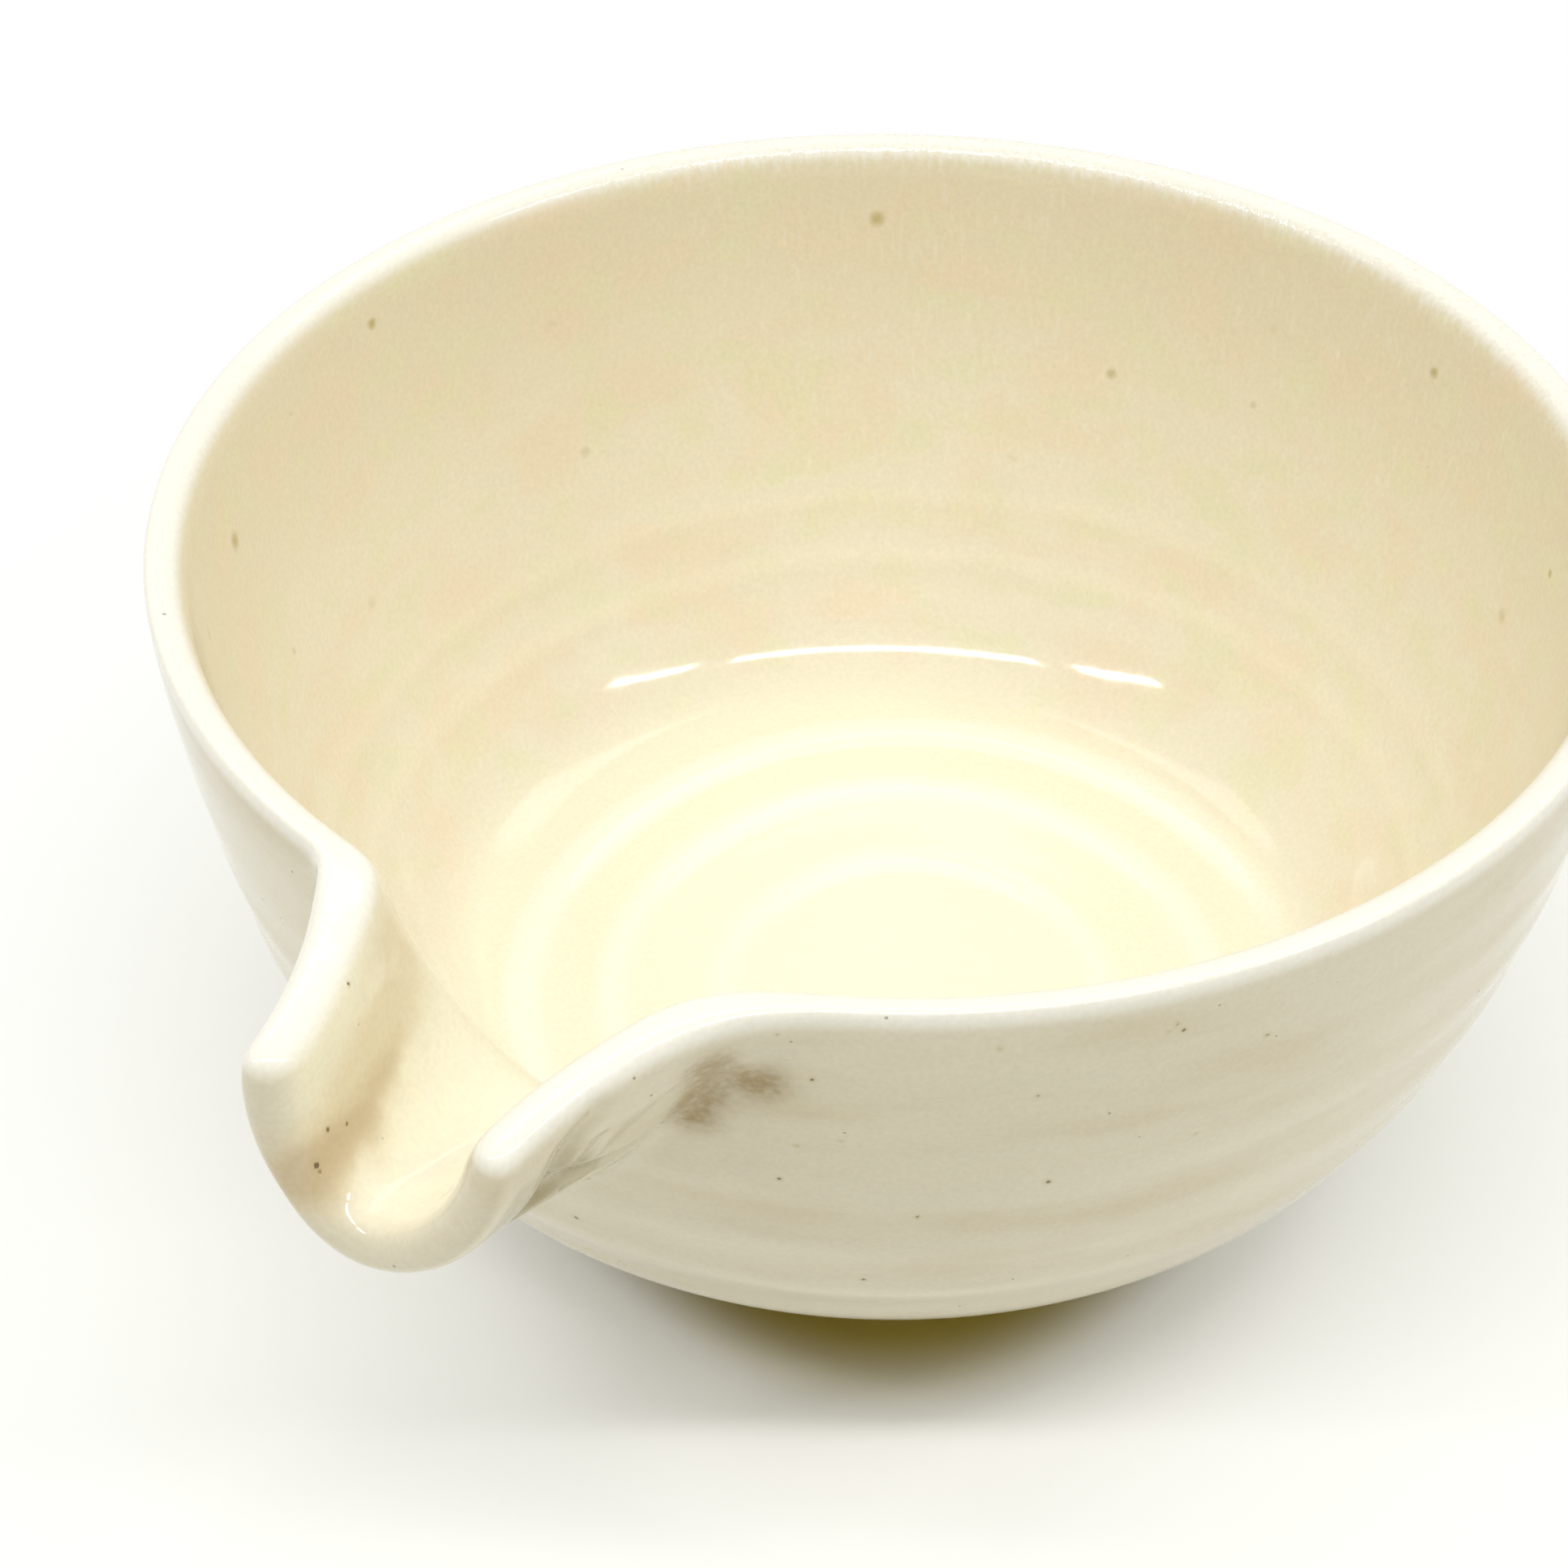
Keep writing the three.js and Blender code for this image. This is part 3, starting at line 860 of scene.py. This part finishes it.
def paleTable():
    # White paper: matt, with a painted olive shadow under the bowl and a painted glow that lightens the shade
    # around it, fading to plain white
    work = bmesh.new()
    bmesh.ops.create_grid(work, x_segments=1, y_segments=1, size=studio["tableSize"] / 2)
    mesh = bpy.data.meshes.new("table")
    work.to_mesh(mesh)
    work.free()
    table = bpy.data.objects.new("table", mesh)
    bpy.context.scene.collection.objects.link(table)
    material, tree = newMaterial("white_paper")
    place = addNode(tree, "ShaderNodeTexCoord").outputs["Object"]
    centre = toCamera * studio["tableCentre"] * mm + Vector((0, axisY * mm, 0))
    turn = (0, 0, math.atan2(across.y, across.x))
    scale = (1 / studio["tableStretch"], 1, 1)
    turned = addNode(tree, "ShaderNodeMapping",
                     {"vector_type": "TEXTURE", "Location": centre, "Rotation": turn, "Scale": scale},
                     {"Vector": place})
    away = addNode(tree, "ShaderNodeVectorMath", {"operation": "LENGTH"}, {0: turned}).outputs["Value"]
    reach = addNode(tree, "ShaderNodeMath", {"operation": "DIVIDE", 1: mm}, {0: away})

    # A painted olive shadow under the bowl, warm as if lit by the glaze, fading out to the paper's own colour
    paintedShadowColour, beyond, shadowStart, shadowEnd = studio["shadow"]
    tint = coated(tree, paintedShadowColour, (beyond, shadowStart, shadowEnd, 1.0), reach)
    paper = addNode(tree, "ShaderNodeBsdfDiffuse", None, {"Color": tint})
    nearWhite, white, glowStart, glowEnd = studio["glow"]
    glow = coated(tree, nearWhite, (white, glowStart, glowEnd, 1.0), reach)
    light = addNode(tree, "ShaderNodeEmission", {"Strength": 1.0}, {"Color": glow})

    # A painted glow lightens the bowl's shadow for seen rays near the bowl, and further out the table turns
    # plain white
    hazeStart, hazeEnd, haze = studio["haze"]
    faded = addNode(tree, "ShaderNodeMapRange", {**softRise, "From Min": glowStart, "From Max": glowEnd},
                    {"Value": reach})
    paintedGlowShare = addNode(tree, "ShaderNodeMapRange",
                   {**softRise, "From Min": hazeStart, "From Max": hazeEnd, "To Max": haze}, {"Value": reach})
    both = addNode(tree, "ShaderNodeMath", {"operation": "MULTIPLY_ADD", 1: 1 - haze}, {0: faded, 2: paintedGlowShare})
    share = addNode(tree, "ShaderNodeMath", {"operation": "MULTIPLY"}, {0: both, 1: seenRays(tree)})
    blend = addNode(tree, "ShaderNodeMixShader", None, {0: share, 1: paper, 2: light})
    addNode(tree, "ShaderNodeOutputMaterial", None, {"Surface": blend})
    mesh.materials.append(material)


def softSky():
    # A light tent, with the dark side that the camera stands in and a little more light from the right
    world = bpy.data.worlds.new("studio")
    bpy.context.scene.world = world
    world.use_nodes = True
    tree = world.node_tree
    tree.nodes.clear()
    way = addNode(tree, "ShaderNodeTexCoord").outputs["Generated"]
    height = addNode(tree, "ShaderNodeSeparateXYZ", None, {0: way}).outputs["Z"]
    low, high = studio["skyLift"]
    lift = addNode(tree, "ShaderNodeMapRange",
                   {**softRise, "From Min": low, "From Max": high, "To Min": studio["skySide"],
                    "To Max": studio["skyTop"]}, {"Value": height})
    climb = math.radians(studio["skyDarkClimb"])
    darkWay = toCamera * math.cos(climb) + Vector((0, 0, math.sin(climb)))
    facing = addNode(tree, "ShaderNodeVectorMath", {"operation": "DOT_PRODUCT", 1: darkWay}, {0: way})
    start, full, most = studio["skyDark"]
    dark = addNode(tree, "ShaderNodeMapRange",
                   {**softRise, "From Min": start, "From Max": full, "To Max": most},
                   {"Value": facing.outputs["Value"]})
    side = addNode(tree, "ShaderNodeVectorMath", {"operation": "DOT_PRODUCT", 1: across}, {0: way})
    sky = addNode(tree, "ShaderNodeMath", {"operation": "SUBTRACT"}, {0: lift, 1: dark})
    sky = addNode(tree, "ShaderNodeMath", {"operation": "MULTIPLY_ADD", 1: studio["skyRight"]},
                  {0: side.outputs["Value"], 2: sky})
    seen = addNode(tree, "ShaderNodeLightPath").outputs["Is Camera Ray"]
    strength = addNode(tree, "ShaderNodeMix", {"data_type": "FLOAT", 3: 1.0}, {0: seen, 2: sky})
    light = addNode(tree, "ShaderNodeBackground", {"Color": (1, 1, 1, 1)}, {"Strength": strength})
    addNode(tree, "ShaderNodeOutputWorld", None, {"Surface": light})


def panelLamp(name, middle, size, power):
    lamp = bpy.data.lights.new(name, "AREA")
    lamp.shape = "RECTANGLE"
    lamp.size, lamp.size_y = size
    lamp.energy = power * size[0] * size[1]
    holder = bpy.data.objects.new(name, lamp)
    back = (middle - across * middle.dot(across)).normalized()
    turn = Matrix((across, back.cross(across), back)).transposed().to_4x4()
    holder.matrix_world = Matrix.Translation(middle) @ turn
    bpy.context.scene.collection.objects.link(holder)


def studioLamps():
    # A strip in three parts overhead, whose reflection lies on the floor's edge, and a faint panel behind
    overhead = toCamera * studio["stripHeight"] * studio["stripLean"] + Vector((0, 0, studio["stripHeight"]))
    for number, (offset, length, brightness) in enumerate(studio["stripParts"]):
        size = (length, studio["stripWidth"])
        panelLamp(f"strip_{number}", overhead + across * offset, size, studio["stripPower"] * brightness)
    climb = math.radians(studio["backRise"])
    behind = (Vector((0, 0, math.sin(climb))) - toCamera * math.cos(climb)) * studio["backReach"]
    panelLamp("back_panel", behind, studio["backSize"], studio["backPower"])


def studioCamera():
    data = bpy.data.cameras.new("camera")
    data.lens = camera["lens"]
    data.sensor_width = camera["sensor"]
    data.clip_start, data.clip_end = camera["clip"]
    holder = bpy.data.objects.new("camera", data)
    turn = Matrix((camera["right"], camera["up"], [-c for c in camera["forward"]])).transposed().to_4x4()
    holder.matrix_world = Matrix.Translation(camera["place"]) @ turn
    bpy.context.scene.collection.objects.link(holder)
    bpy.context.scene.camera = holder


print("table, light and camera")
paleTable()
softSky()
studioLamps()
studioCamera()
bpy.context.scene.view_settings.view_transform = "Standard"
